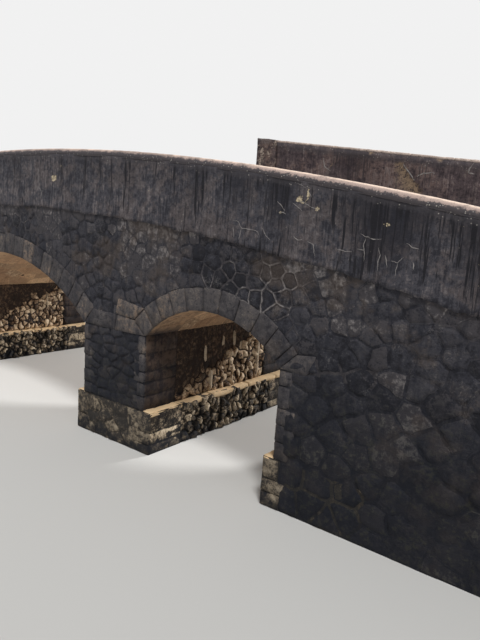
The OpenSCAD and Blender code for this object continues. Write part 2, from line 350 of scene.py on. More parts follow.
def coping_finish(name, top, flank, worn, side):
    """Coping mortar: pale above, where its top is partly painted sunlight, worn away here
    and there, and dark low on its sides, partly as painted shade and partly with spots
    of lichen, most where the mesh says it is not fresh."""
    finish = Finish(name)
    low, fresh = finish.value_of("low"), finish.value_of("fresh")
    cloud = finish.spots(1.3, detail=5.0, roughness=0.6)
    blotch = finish.spots(8.0, roughness=0.70)
    crust = finish.spots(26.0, detail=5.0, roughness=0.74)
    grain = finish.spots(70.0, detail=5.0, roughness=0.7)

    ragged = low + (blotch - 0.5) * 0.7 + (crust - 0.5) * 0.8 - fresh * 0.14
    lichen = finish.cells(26.0).step(0.30, 0.14) * blotch.step(0.47, 0.55)
    # Painted light: the top colour is the sunlit one, and the flank and the side darken downwards as painted
    # shade over the mortar's own wear and lichen.
    colour = finish.layers(
        top,
        (flank, low.step(0.08, 0.26)),
        (worn, (cloud * 0.4 + blotch * 0.6 - fresh * 0.09).step(0.41, 0.52) * 0.8),
        ((96, 84, 78), (crust * 0.6 + grain * 0.4 + fresh * 0.03).step(0.50, 0.41) * 0.6),
        (side, ragged.step(0.20, 0.42) * 0.94),
        ((186, 180, 172), lichen * low.step(0.3, 0.6) * 0.85))
    relief = blotch * 0.5 + crust * 0.35 + grain * 0.2
    return finish.close(colour, 0.85 + (grain - 0.5) * 0.15, relief, 0.018)


def road_finish(name):
    """Trodden earth and gravel."""
    finish = Finish(name)
    cloud = finish.spots(0.6, detail=5.0, roughness=0.6)
    blotch = finish.spots(5.0, roughness=0.6)
    pebble = finish.node("SeparateColor", {}, (finish.cells(26.0, "Color"),))
    gravel = finish.ramp(pebble, ((0.0, (86, 80, 74)), (0.5, (128, 119, 106)), (1.0, (172, 162, 146))))
    colour = finish.layers(
        (126, 113, 96),
        ((152, 140, 122), cloud.step(0.42, 0.60)),
        (gravel, blotch.step(0.42, 0.56) * 0.8))
    return finish.close(colour, 0.92, blotch * 0.4 - finish.cells(26.0) * 0.5, 0.018)


# Low on these walls the dark is partly painted shade of the bushes at their foot, not only damp.
rubble = masonry_finish(
    "rubble_with_ribbon_pointing",
    ((0.0, (28, 28, 34)), (0.25, (52, 52, 59)), (0.50, (70, 68, 72)), (0.72, (88, 84, 85)),
     (0.90, (108, 99, 93)), (1.0, (134, 116, 99))),
    (130, 125, 124), (66, 63, 66), 0.5, 0.95, indoors=(104, 84, 70), damp_and_shade_top=3.2, damp_and_shade_fade=2.1)
# The colour given for above the springing is painted light reflected up under the rings.
dressed = masonry_finish(
    "dressed_arch_stone",
    ((0.0, (52, 50, 54)), (0.35, (72, 69, 71)), (0.65, (88, 83, 82)), (0.85, (106, 96, 90)),
     (1.0, (132, 114, 100))),
    (126, 120, 115), (84, 80, 79), 0.4, 1.4, indoors=(88, 70, 58), painted_bounce_light=(214, 174, 134),
    damp_and_shade_top=2.0, damp_and_shade_fade=1.5)
# Rough inner stone: the pale top of its shades is painted sunlight on the lumps, and its dark dull mortar the
# colour of the painted sun shadow where it is smeared.
vaulting = masonry_finish(
    "rough_inner_stone",
    ((0.0, (28, 22, 19)), (0.30, (62, 49, 41)), (0.50, (112, 91, 73)), (0.72, (184, 157, 127)),
     (1.0, (230, 208, 178))),
    (112, 90, 72), (52, 41, 35), 0.1, 1.6)
# Pale as limewash, and paler still as painted light reflected up from below under the arches.
soffit = masonry_finish(
    "limewashed_vault_stone_with_painted_bounce_light",
    ((0.0, (126, 98, 76)), (0.35, (188, 150, 116)), (0.60, (220, 183, 144)), (0.85, (236, 205, 168)),
     (1.0, (242, 218, 188))),
    (214, 188, 156), (160, 130, 102), 0.15, 0.6)
# Its pale cream and black stand partly for painted sunlight and shadow on the lumps of the footings' arch
# sides.
footing = masonry_finish(
    "wet_footing_stone",
    ((0.0, (22, 21, 20)), (0.32, (58, 52, 46)), (0.50, (116, 103, 87)), (0.70, (182, 164, 138)),
     (1.0, (226, 208, 180))),
    (186, 166, 136), (92, 80, 66), 0.1, 1.8, outdoors=(50, 48, 46), damp_and_shade_top=0.35, damp_and_shade_fade=0.3)
# Pale lime, made brighter still as painted sunlight on the ledges.
ledge = masonry_finish(
    "lime_coated_ledge", ((0.0, (176, 142, 106)), (0.35, (226, 194, 152)), (1.0, (240, 214, 176))),
    (242, 218, 180), (230, 198, 154), 0.0, 0.4)
earth = masonry_finish(
    "earth_and_stone_fill",
    ((0.0, (62, 51, 40)), (0.4, (96, 80, 62)), (0.75, (124, 105, 82)), (1.0, (152, 135, 110))),
    (136, 120, 98), (98, 84, 66), 0.1)
lime_run = masonry_finish(
    "lime_run", ((0.0, (178, 160, 138)), (1.0, (236, 218, 192))), (240, 224, 200), (206, 188, 164), 0.0, 0.7)
vein = masonry_finish(
    "lime_vein", ((0.0, (122, 118, 118)), (1.0, (158, 153, 150))), (156, 152, 148), (126, 122, 121), 0.0)
grey_render = render_finish(
    "grey_lime_render", (66, 65, 71), (34, 34, 41), (112, 106, 107), (80, 73, 73), (204, 188, 158), 0.95)
brown_render = render_finish(
    "old_brown_render", (84, 73, 76), (50, 43, 47), (134, 121, 119), (112, 94, 90), (150, 129, 106), 0.30,
    core_blur=0.8)
flaking_render = render_finish(
    "flaking_brown_render", (88, 76, 76), (46, 40, 43), (146, 133, 128), (120, 100, 92), (176, 160, 148), 0.3)
coping = coping_finish(
    "pale_coping_mortar", (232, 208, 190), (184, 163, 154), (150, 134, 127), (68, 66, 71))
old_coping = coping_finish(
    "old_coping_stone", (236, 216, 202), (186, 170, 162), (180, 163, 154), (96, 85, 85))
road = road_finish("gravel_road")
slot_finish = {
    "wet_footing_stone": footing, "rubble_stone": rubble, "dressed_stone": dressed, "vault_stone": vaulting,
    "earth_fill": earth, "road_surface": road, "grey_render": grey_render, "coping_stone": coping,
    "brown_render": brown_render,
}


# Faces that the pieces are laid on

class Flat:
    """A flat face: u runs along it, v up it and w out of it."""

    def __init__(self, origin, along, up=(0, 0, 1)):
        self.origin, self.along, self.up = Vector(origin), Vector(along), Vector(up)
        self.out = self.along.cross(self.up)

    def place(self, p):
        at = self.origin + self.along * p.x + self.up * p.y + self.out * p.z
        at.z = max(at.z, 0.0)
        return at


class Soffit:
    """The underside of a barrel: u runs round it from its crown and v across the road."""

    def __init__(self, arch, radius, centre_z):
        self.arch, self.radius, self.centre_z = arch, radius, centre_z

    def place(self, p):
        angle, radius = p.x / self.radius, self.radius - p.z
        x = self.arch.x + radius * math.sin(angle)
        return Vector((x, -p.y, self.centre_z + radius * math.cos(angle)))


def long_face(face):
    """The near or far wall face, with u along the road."""
    return Flat((0, face * wall_y, 0), (-face, 0, 0))


def cross_face(x, looks):
    """A face square to the road that looks to the left, -1, or the right, 1."""
    return Flat((x, 0, 0), (0, looks, 0))


# Edges of a field of stones: each gives, for a place in the field, how far
# inside it lies and the way out, or nothing where that edge doesn't count

def straight_edge(u, v, out_u, out_v, counts=lambda u, v: True):
    def edge(at_u, at_v):
        if counts(at_u, at_v):
            return (u - at_u) * out_u + (v - at_v) * out_v, (out_u, out_v)
    return edge


def ring_edge(arch, radius):
    def edge(u, v):
        gap_u, gap_v = arch.x - u, arch.z - v
        reach = math.hypot(gap_u, gap_v)
        if abs(math.atan2(-gap_u, -gap_v)) < arch.half_angle:
            return reach - radius, (gap_u / reach, gap_v / reach)
    return edge


def deck_edge(depth):
    def edge(u, v):
        slope = deck_slope(u)
        return (deck_z(u, depth) - v) * math.cos(slope), (math.sin(slope), math.cos(slope))
    return edge


def frame_edges(u1, u2, v1, v2):
    return [straight_edge(u1, 0, -1, 0), straight_edge(u2, 0, 1, 0),
            straight_edge(0, v1, 0, -1), straight_edge(0, v2, 0, 1)]


def panel(u1, u2, v1, v2):
    """The edges and the span of a field with four straight sides."""
    return frame_edges(u1, u2, v1, v2), (u1, u2, v1, v2)


def even(value):
    """The same value all over a field."""
    return lambda u, v: value


# Making pieces

def add_object(name, bm, finish):
    """Adds a finished shape to the scene, and frees it."""
    mesh = bpy.data.meshes.new(name)
    bm.to_mesh(mesh)
    bm.free()
    mesh.materials.append(finish)
    made = bpy.data.objects.new(name, mesh)
    bpy.context.scene.collection.objects.link(made)
    return made


def put(bm, name, slot, finish, replaced=None):
    """Turns a finished shape into a piece that rides on the bridge, and that
    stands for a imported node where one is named."""
    for polygon in bm.faces:
        polygon.smooth = True
    piece = add_object(name, bm, finish)
    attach(piece, "root")
    if replaced:
        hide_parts(replaced)


def join(target, part):
    """Adds one small shape to a piece, and frees it."""
    carrier = bpy.data.meshes.new("carrier")
    part.to_mesh(carrier)
    part.free()
    target.from_mesh(carrier)
    bpy.data.meshes.remove(carrier)


def sheet(columns, rows):
    """A flat grid from -0.5 to 0.5 both ways."""
    bm = bmesh.new()
    bmesh.ops.create_grid(bm, x_segments=columns, y_segments=rows, size=0.5)
    return bm


def number_layers(bm, *names):
    """New layers for the numbers that the finishes read from the mesh."""
    return [bm.verts.layers.float.new(name) for name in names]


def extrude_border(bm):
    """Gives a sheet a rim round its open edges, and returns the rim's own corners."""
    border = [e for e in bm.edges if e.is_boundary]
    made = bmesh.ops.extrude_edge_only(bm, edges=border)["geom"]
    return [g for g in made if isinstance(g, bmesh.types.BMVert)]


class Seeds:
    """Middles of the stones, no closer to each other than the gap asked for."""

    tries_per_stone = 45

    def __init__(self, edges, span, gap, stretch, seed):
        self.stretch, self.found, self.lattice, self.pitch = stretch, [], {}, 0.5
        chance = random.Random(seed)
        u1, u2, v1, v2 = span
        tries = int(self.tries_per_stone * (u2 - u1) * (v2 - v1) * stretch / gap(0, 0) ** 2)
        for _ in range(tries):
            u, v = chance.uniform(u1, u2), chance.uniform(v1, v2)
            least = gap(u, v) * chance.uniform(0.80, 1.22)
            inside = [e[0] for e in (edge(u, v) for edge in edges) if e]
            if min(inside) > 0.36 * least / stretch and not self.crowded(u, v, least):
                self.found.append((u, v))
                self.lattice.setdefault(self.key(u, v), []).append((u, v))

    def key(self, u, v):
        return int(u // self.pitch), int(v // self.pitch)

    def around(self, u, v, reach=1):
        row, column = self.key(u, v)
        return [p for i in range(-reach, reach + 1) for j in range(-reach, reach + 1)
                for p in self.lattice.get((row + i, column + j), ())]

    def apart(self, p, q):
        return math.hypot(p[0] - q[0], (p[1] - q[1]) * self.stretch)

    def crowded(self, u, v, least):
        return any(self.apart((u, v), p) < least for p in self.around(u, v))

    def outline(self, u, v, edges, pitch):
        """One stone's outline, cut from a sheet half way to each neighbour and at the edges."""
        bm = bmesh.new()
        bmesh.ops.create_grid(bm, x_segments=1, y_segments=1, size=1.0, matrix=Matrix.Translation((u, v, 0)))
        cuts = []
        for p in sorted(self.around(u, v, 2), key=lambda p: self.apart((u, v), p))[1:]:
            middle = ((u + p[0]) / 2, (v + p[1]) / 2)
            cuts.append((middle, (p[0] - u, (p[1] - v) * self.stretch ** 2)))
        for distance, out in (e for e in (edge(u, v) for edge in edges) if e):
            if distance < 1.0:
                cuts.append(((u + out[0] * distance, v + out[1] * distance), out))
        for point, out in cuts:
            whole = bm.verts[:] + bm.edges[:] + bm.faces[:]
            bmesh.ops.bisect_plane(bm, geom=whole, dist=1e-5, plane_co=(*point, 0), plane_no=(*out, 0),
                                   clear_outer=True)
        for side in bm.edges[:]:
            start = side.verts[0]
            parts = math.ceil(side.calc_length() / pitch)
            for left_over in range(parts, 1, -1):
                side, start = self.cut(side, start, left_over)
        return bm

    def cut(self, side, start, parts):
        """Cuts the first of several equal parts off a side, and gives the rest."""
        end = side.other_vert(start)
        new_side, corner = bmesh.utils.edge_split(side, start, 1 / parts)
        rest = new_side if end in new_side.verts else side
        return rest, corner


def ribbon_steps(ribbon):
    """Rings of a stone with raised pointing: how far each goes in, and its share of the height."""
    return (ribbon * 0.55, None), (ribbon * 0.45 + 0.004, 0.0), (0.016, 0.72), (0.060, 1.0)


# Rings of a lumpy stone whose joints are open
lump_steps = (0.014, 0.5), (0.032, 1.0)

# Height to which smeared mortar evens the stones out, and a stone's usual size
smear_level, usual_size = 0.014, 0.28


def stone_field(name, face, edges, span, slot, finish, seed, gap=even(0.30), stretch=1.15,
                pointing=even(0.5), crest=(0.004, 0.034), stone=(0.016, 0.036),
                steps=ribbon_steps(0.020), pitch=0.10, tones=(0.0, 1.0), warp=0.028, smear=even(0.0),
                unevenness=1.0, rounding=0.0, shade=even(0.0), sunk=0.8, painted_crevice_shade=0.0):
    """Lays a field of rough stones on a face. Where pointing is 1 a pale ribbon
    of mortar stands up between them, and where it is 0 the joints are sunk.
    Where smear is over 0, mortar spreads onto the stones. Rounding takes their
    corners back, shade lightens or darkens them by place, sunk is how much
    darker the joints are where they are sunk, and the crevice shade is how much
    darker the stones' own sides are painted, as shade where they fall into the joints."""
    seeds = Seeds(edges, span, gap, stretch, seed)
    chance = random.Random(seed + 1)
    bm = bmesh.new()
    for u, v in seeds.found:
        join(bm, seeds.outline(u, v, edges, pitch))
    bmesh.ops.remove_doubles(bm, verts=bm.verts, dist=0.003)
    tone, lime = number_layers(bm, "tone", "lime")
    for v in bm.verts:
        strength = clamp(pointing(v.co.x, v.co.y))
        hollow = (1 - strength) * clamp(0.6 + 1.1 * drift(v.co.x * 1.9, v.co.y * 1.9, seed + 5))
        v[tone], v[lime] = 0.4 - sunk * hollow, max(strength, 0.6 * smear(v.co.x, v.co.y))
        push = noise.noise_vector(Vector((v.co.x * 7, v.co.y * 7, seed)))
        v.co += Vector((push.x, push.y, 0)) * warp
        rise = crest[0] + (crest[1] - crest[0]) * strength + 0.004 * drift(v.co.x * 11, v.co.y * 11)
        v.co.z = max(rise, -0.004) if smear(v.co.x, v.co.y) > 0.6 else rise
    stones = []
    for polygon in bm.faces:
        middle = polygon.calc_center_median()
        spread = smear(middle.x, middle.y)
        stones.append({
            "face": polygon, "middle": middle, "size": math.sqrt(max(polygon.calc_area(), 0.001)),
            "tone": (tones[0] + (tones[1] - tones[0]) * chance.betavariate(1.8, 2.4)
                     + shade(middle.x, middle.y)),
            "reach": sum((v.co - middle).length for v in polygon.verts) / len(polygon.verts),
            "top": chance.uniform(*stone) * (1 - 0.5 * clamp(spread)),
            "smear": clamp(chance.gauss(spread - 0.10, 0.20), 0.0, 0.68),
            "tilt": Vector((chance.gauss(0, 0.05), chance.gauss(0, 0.05), 0)) * unevenness,
            "strength": clamp(pointing(middle.x, middle.y)), "rough": unevenness,
        })
    for inset, rise in steps:
        bmesh.ops.inset_individual(bm, faces=[s["face"] for s in stones], thickness=0.0)
        for s in stones:
            for v in s["face"].verts:
                shrink(v, s, inset * clamp(s["size"] / usual_size, 0.6, 1.5), rise, rounding)
                # Painted shade: each stone's lower rings, its sides, are darkened as shade in the crevices.
                v[tone] = s["tone"] - painted_crevice_shade * (1 - (rise or 0))
                ribbon = 0 if rise else s["strength"] * 0.55
                v[lime] = s["strength"] if rise is None else max(s["smear"], ribbon)
    for s in stones:
        made = bmesh.ops.poke(bm, faces=[s["face"]], center_mode="MEAN")["verts"][0]
        made[tone], made[lime] = s["tone"], s["smear"]
        made.co.z += 0.003 * unevenness
    for v in bm.verts:
        v.co.z += (smear_level - v.co.z) * 0.7 * clamp((smear(v.co.x, v.co.y) - 0.50) / 0.12)
    for v in extrude_border(bm):
        v.co.z = -bed
    for v in bm.verts:
        v.co = face.place(v.co)
    put(bm, name, slot, finish)


def shrink(v, s, inset, rise, rounding):
    """Moves a corner of a stone's ring towards its middle, and to its height."""
    towards = Vector((s["middle"].x - v.co.x, s["middle"].y - v.co.y, 0))
    length = towards.length
    if rise == 0:
        inset += rounding * max(0.0, length - s["reach"] * 0.95)
    v.co += towards * (min(inset, 0.38 * length) / max(length, 1e-6))
    if rise is None:
        v.co.z -= 0.003
        return
    lean = (v.co - s["middle"]).dot(s["tilt"])
    rough = 0.007 * drift(v.co.x * 8, v.co.y * 8, 7) + 0.0045 * drift(v.co.x * 23, v.co.y * 23, 3)
    valley = 0.004 - 0.010 * (s["rough"] - 1) + 0.002 * drift(v.co.x * 17, v.co.y * 17)
    v.co.z = valley + (s["top"] - valley + lean + rough * s["rough"]) * rise if rise else valley


def rough_block(target, low, high, place, seed, tone=0.5, lime=0.0, cell=0.14, arris=0.014, rough=0.006):
    """Adds one closed, worn block that fills low to high before it is placed."""
    bm = bmesh.new()
    low, high = Vector(low), Vector(high)
    size = high - low
    placing = Matrix.Translation((low + high) / 2) @ Matrix.Diagonal((*size, 1))
    bmesh.ops.create_cube(bm, size=1.0, matrix=placing)
    bmesh.ops.bevel(bm, geom=bm.edges[:], offset=min(arris, 0.3 * min(size)), offset_type="OFFSET",
                    affect="EDGES", segments=1, profile=0.5, material=-1)
    for axis in range(3):
        out = Vector([1.0 if i == axis else 0.0 for i in range(3)])
        parts = max(1, round(size[axis] / cell))
        for k in range(1, parts):
            whole = bm.verts[:] + bm.edges[:] + bm.faces[:]
            bmesh.ops.bisect_plane(
                bm, geom=whole, plane_co=low + out * (size[axis] * k / parts), plane_no=out)
    tones, limes = number_layers(bm, "tone", "lime")
    for v in bm.verts:
        push = noise.noise_vector(v.co * 5.0 + Vector((seed * 3.7, 0, 0)))
        fine = noise.noise_vector(v.co * 16.0 + Vector((0, seed * 2.3, 0)))
        v.co = place(v.co + push * rough + fine * rough * 0.5)
        v[tones], v[limes] = tone, lime
    bmesh.ops.recalc_face_normals(bm, faces=bm.faces)
    join(target, bm)


def arch_stones(name, arch, face, seed, replaced, joints=None, tones=None):
    """The ring of wedge stones, as deep as the wall, with thin open joints. Joints
    gives their angles from the crown, and tones the tones of single stones."""
    chance = random.Random(seed)
    bm = bmesh.new()
    middle, joint = (arch.radius + arch.back) / 2, 0.013
    if joints is None:
        step = 2 * arch.half_angle / arch.stones
        joints = [-arch.half_angle + step * (k + chance.uniform(-0.10, 0.10)) for k in range(1, arch.stones)]
    joints = [-arch.half_angle, *joints, arch.half_angle]

    def place(p):
        x, z = arch.point(p.x / middle, p.y)
        return Vector((x, face * (wall_y + p.z), z))

    for number, (start, end) in enumerate(zip(joints, joints[1:])):
        tone = (tones or {}).get(number, chance.betavariate(1.3, 2.0))
        low = (start * middle + joint / 2, arch.radius - chance.uniform(0.004, 0.010),
               inner_y - wall_y + 0.004)
        high = (end * middle - joint / 2, arch.back + chance.uniform(-0.012, 0.030),
                chance.uniform(0.027, 0.036))
        rough_block(bm, low, high, place, chance.random() * 50, tone, cell=0.10, arris=0.012, rough=0.008)
    low = (-arch.half_angle * middle, arch.radius + 0.020, inner_y - wall_y + 0.010)
    high = (arch.half_angle * middle, arch.back, -0.012)
    rough_block(bm, low, high, place, seed, 0.1, 0.3, 0.12, 0.004, 0.002)
    put(bm, name, "dressed_stone", dressed, replaced)


def between(corners, depth_low, depth_high, face):
    """Placer for a block whose face has four given corners, from the lower left one round."""
    a, b, c, d = (Vector(corner) for corner in corners)

    def place(p):
        bottom = a.lerp(b, p.x)
        top = d.lerp(c, p.x)
        at = bottom.lerp(top, p.y)
        return Vector((at.x, face * (wall_y + depth_low + (depth_high - depth_low) * p.z), at.y))
    return place


def four_sided_block(target, corners, face, depth_low, depth_high, seed, tone):
    """Adds a block whose face is any four-sided outline."""
    a, b, _, d = (Vector(corner) for corner in corners)
    width, height, depth = (b - a).length, (d - a).length, depth_high - depth_low
    flat = between(corners, depth_low, depth_high, face)
    rough_block(target, (0, 0, 0), (width, height, depth),
                lambda p: flat(Vector((p.x / width, p.y / height, p.z / depth))), seed, tone,
                cell=0.13, arris=0.016)


def springers(name, face, seed):
    """The big blocks that the feet of the rings stand on."""
    chance = random.Random(seed)
    bm = bmesh.new()
    for side in (-1, 1):
        main_foot = main_arch.foot(side, main_arch.back)
        arch = right_arch if side == 1 else left_arch
        inner_foot, outer_foot = arch.foot(-side, arch.back), arch.foot(side, arch.back)
        split = side * (pier_in + 0.52 * (pier_out - pier_in))
        split_top = (split + side * 0.06, (main_foot[1] + inner_foot[1]) / 2)
        blocks = [
            ((side * pier_in, spring_z), (split, spring_z - 0.02), split_top, main_foot),
            ((split + side * 0.014, spring_z - 0.02), (side * pier_out, spring_z), inner_foot,
             (split_top[0] + side * 0.014, split_top[1])),
            ((side * jamb_x, spring_z), (side * (jamb_x + 0.50), spring_z - 0.04),
             (side * (jamb_x + 0.62), outer_foot[1] + 0.03), outer_foot),
        ]
        for number, corners in enumerate(blocks):
            brown = number == 1 and side == 1 and face == near
            four_sided_block(bm, corners, face, inner_y - wall_y + 0.004, 0.030, chance.random() * 50,
                             0.76 if brown else chance.uniform(0.1, 0.6))
        if side == 1 and face == near:
            haunch = ((split + 0.02, split_top[1] + 0.012), (inner_foot[0] - 0.012, inner_foot[1] + 0.016),
                      arch.point(-math.radians(39.5), arch.back + 0.01), (split + 0.10, split_top[1] + 0.33))
            four_sided_block(bm, haunch, face, -0.1, 0.036, chance.random() * 50, 0.80)
    put(bm, name, "dressed_stone", dressed)


def quoins(name, face, x, side, z1, z2, seed, finish, slot, courses=(0.20, 0.40), widths=(0.13, 0.36)):
    """Corner blocks of uneven size up a jamb, as deep as the wall."""
    chance = random.Random(seed)
    bm = bmesh.new()
    low, proud = z1, 0.026
    while low < z2 - 0.02:
        top = low + chance.uniform(*courses)
        if z2 - top < courses[0] * 0.8:
            top = z2
        width = chance.uniform(*widths)
        inside, outside = x - side * chance.uniform(0.002, 0.010), x + side * width
        rough_block(bm, (min(inside, outside), inner_y - wall_y + 0.004, low),
                    (max(inside, outside), proud * chance.uniform(0.6, 1.0), top - 0.010),
                    lambda p: Vector((p.x, face * (wall_y + p.y), max(p.z, 0.0))), chance.random() * 50,
                    chance.betavariate(1.8, 3.0), clamp(chance.gauss(0.0, 0.15)), 0.12, 0.022, 0.016)
        low = top
    put(bm, name, slot, finish)


# Build the masonry

def clear_ribbons(u, v):
    """1 where the near face's ribbons are cleanest, beside the right arch."""
    return clamp(1.5 * (1 - ((u - 7.45) / 1.5) ** 2 - ((v - 3.75) / 0.75) ** 2))


def near_pointing(u, v):
    """Ribbons come and go, and are worn away low on the right."""
    worn = clamp((u - 8.0) / 1.0) * clamp((3.0 - v) / 0.8)
    breaks = 0.6 * drift(u * 2.3, v * 2.3, 6)
    return 0.14 + 0.8 * drift(u * 0.5, v * 0.8, 4) + 0.70 * clear_ribbons(u, v) - 0.6 * worn + breaks


# Stones' tone by place on the near face; low on the right they are darker, partly as painted shade of the
# bushes there.
def near_shade(u, v):
    worn = clamp((u - 7.8) / 1.2) * clamp((3.2 - v) / 1.0)
    under_render = clamp(1 - (deck_z(u, parapet_h) - v) / 0.5) * clamp((u - 7.2) / 0.8)
    return (-0.25 * clear_ribbons(u, v) - 0.15 * worn - 0.25 * under_render
            + 0.30 * drift(u * 0.45, v * 0.6, 31) + 0.20 * worn * drift(u * 1.1, v * 1.1, 33))


def far_pointing(u, v):
    return 0.35 + 0.8 * drift(u * 0.45, v * 0.7, 9)


def facing_smear(u, v):
    """Mortar is spread over the stones just under the render, and in worn patches."""
    under_render = clamp(1 - (deck_z(u, parapet_h) - v) / 0.55)
    cloudy = 0.24 + 0.5 * clamp(drift(u * 0.7, v * 0.9, 15) * 2)
    plastered = 0.64 * clamp((u - 8.1) / 0.9) * clamp(0.45 + 2.4 * drift(u * 0.8, v * 0.9, 27))
    return max(cloudy * (1 - clear_ribbons(u, v)) + 0.45 * under_render, plastered)


def facing_gap(u, v):
    """Stones grow towards the foot of the walls."""
    boulders = 0.06 * clamp((u - 8.2) / 1.0) * clamp((3.2 - v) / 1.0)
    return 0.25 + 0.10 * clamp((3.4 - v) / 1.8) + 0.05 * drift(u * 0.9, v * 0.9, 21) + boulders


jamb_quoin = 0.12
springer_top = right_arch.foot(1, right_arch.back)[1]
facing_edges = [
    deck_edge(parapet_h - 0.03),
    straight_edge(-road_end, 0, -1, 0), straight_edge(road_end, 0, 1, 0), straight_edge(0, 0, 0, -1),
    straight_edge(jamb_x + jamb_quoin, 0, -1, 0, lambda u, v: u > 0 and v < springer_top),
    straight_edge(-jamb_x - jamb_quoin, 0, 1, 0, lambda u, v: u <= 0 and v < springer_top),
    straight_edge(0, springer_top - 0.02, 0, -1, lambda u, v: pier_in < abs(u) < pier_out and v > spring_z),
] + [ring_edge(arch, arch.back - 0.015) for arch in arches.values()]

# The right arch's near ring as the photograph shows it: the angles of its joints,
# and the tones of its first two stones
seen_joints = [math.radians(a) for a in (-39.5, -31.6, -22.6, -13.2, -2.8, 6.5, 16.3, 26.5, 36.0, 44.2)]
seen_tones = {0: 0.72, 1: 0.6}

for face, side_name in both_faces:
    stone_field("facing_" + side_name, long_face(face), facing_edges, (-road_end, road_end, 0, 4.8),
                "rubble_stone", rubble, 11 + face, facing_gap, crest=(-0.004, 0.027), stone=(0.010, 0.034),
                shade=near_shade if face == near else even(0.0), sunk=0.18, steps=ribbon_steps(0.019),
                rounding=0.45, tones=(0.02, 0.54),
                pointing=near_pointing if face == near else far_pointing, smear=facing_smear)
    for arch_name, arch in arches.items():
        place_name = "%s_%s" % (arch_name, side_name)
        seen = {"joints": seen_joints, "tones": seen_tones} if place_name == "right_near" else {}
        arch_stones("arch_stones_" + place_name, arch, face, 40 + face * 3 + len(arch_name),
                    "ring_" + place_name, **seen)
    springers("springers_" + side_name, face, 60 + face)
    for end, end_name in both_ends:
        label = "_%s_%s" % (end_name, side_name)
        for number, (shaft, x, side) in enumerate((
                ("pier_inner", pier_in, end), ("pier_outer", pier_out, -end), ("jamb", jamb_x, end))):
            seed = 100 + 10 * number + 3 * end + face
            quoins("quoins_" + shaft + label, face, end * x, side, footing_z + 0.01, spring_z - 0.01, seed,
                   dressed, "dressed_stone")
            quoins("footing_blocks_" + shaft + label, face, end * x - side * footing_step, side, 0.0,
                   footing_z, seed + 50, footing, "wet_footing_stone", (0.20, 0.36), (0.30, 0.62))
        u = -face * end * (pier_in + pier_out) / 2
        reach = (pier_out - pier_in) / 2
        inside = reach - 0.11
        stone_field("pier_facing" + label, long_face(face),
                    frame_edges(u - inside, u + inside, footing_z, spring_z),
                    (u - reach, u + reach, footing_z, spring_z), "rubble_stone", rubble, 200 + 3 * end + face,
                    stretch=1.7, pointing=lambda u, v: 0.15 + 0.4 * drift(u, v, 2), crest=(0.001, 0.018),
                    stone=(0.010, 0.034), tones=(0.0, 0.6), smear=lambda u, v: 0.25 * drift(u, v, 11))
        inside = reach + footing_step - 0.26
        stone_field("pier_footing_facing" + label, long_face(face),
                    frame_edges(u - inside, u + inside, 0, footing_z),
                    (u - reach, u + reach, 0, footing_z), "wet_footing_stone", footing, 220 + 3 * end + face,
                    gap=even(0.38), stretch=1.5, pointing=even(0.2), crest=(0.003, 0.018),
                    stone=(0.014, 0.034))


# Rough arch sides of the piers and abutments, and their footings

def painted_shadow_zone(y, z):
    """1 where an arch side is painted as lying in the sun's shadow: high up and towards the near face, up to
    a diagonal edge like a shadow's.
    """
    return clamp((z - 0.98 - 0.44 * (y + 1.2)) / 0.30 + 0.3 * drift(y * 3, z * 3, 2))


def ledge_capping(name, x_back, looks, seed):
    """The rough lime-coated top of a footing's step, painted bright partly as sunlight on it."""
    chance = random.Random(seed)
    bm = bmesh.new()
    y = -wall_y
    while y < wall_y - 0.2:
        length = min(chance.uniform(0.7, 1.5), wall_y - y)
        front = x_back + looks * (footing_step + chance.uniform(0.025, 0.055))
        low = (min(x_back, front), y, footing_z - 0.09)
        high = (max(x_back, front), y + length, footing_z + chance.uniform(0.006, 0.016))
        rough_block(bm, low, high, lambda p: p, chance.random() * 50, chance.uniform(0.2, 1.0),
                    lime=0.4, cell=0.08, arris=0.022, rough=0.016)
        y += length - 0.004
    put(bm, name, "wet_footing_stone", ledge)


lumpy = {"stretch": 0.9, "pointing": even(0.0), "steps": lump_steps, "pitch": 0.06, "warp": 0.06}

# The arch sides, each with its place along the road, the way it looks and a seed
arch_sides = {}
for end, end_name in both_ends:
    for number, (wall, x, looks) in enumerate((
            ("pier_inner", pier_in + barrel_recess, -1), ("pier_outer", pier_out - barrel_recess, 1),
            ("abutment", jamb_x + barrel_recess, -1))):
        arch_sides["%s_%s" % (wall, end_name)] = end * x, end * looks, 300 + 10 * number + end

# Above that diagonal the stones are smeared with dark mortar and darkened as a painted sun shadow, and below
# it lightened as painted sunlight.
for label, (x, looks, seed) in arch_sides.items():
    stone_field("jamb_facing_" + label, cross_face(x, looks), *panel(-inner_y, inner_y, footing_z, spring_z),
                "vault_stone", vaulting, seed, gap=even(0.145), crest=(-0.030, -0.006), stone=(0.000, 0.064),
                smear=lambda u, v: painted_shadow_zone(looks * u, v), unevenness=3.0,
                shade=lambda u, v: 0.38 - 0.62 * painted_shadow_zone(looks * u, v), painted_crevice_shade=0.9, **lumpy)
    stone_field("footing_facing_" + label, cross_face(x + looks * footing_step, looks),
                *panel(-inner_y, inner_y, 0, footing_z), "wet_footing_stone", footing, seed + 5,
                gap=even(0.15), crest=(-0.034, -0.006), stone=(0.0, 0.085),
                smear=lambda u, v: 0.6 * drift(u * 1.5, v * 1.5, 5), unevenness=4.0, painted_crevice_shade=0.8, **lumpy)
for label, (x, looks, seed) in arch_sides.items():
    ledge_capping("ledge_" + label, x, looks, seed + 100)

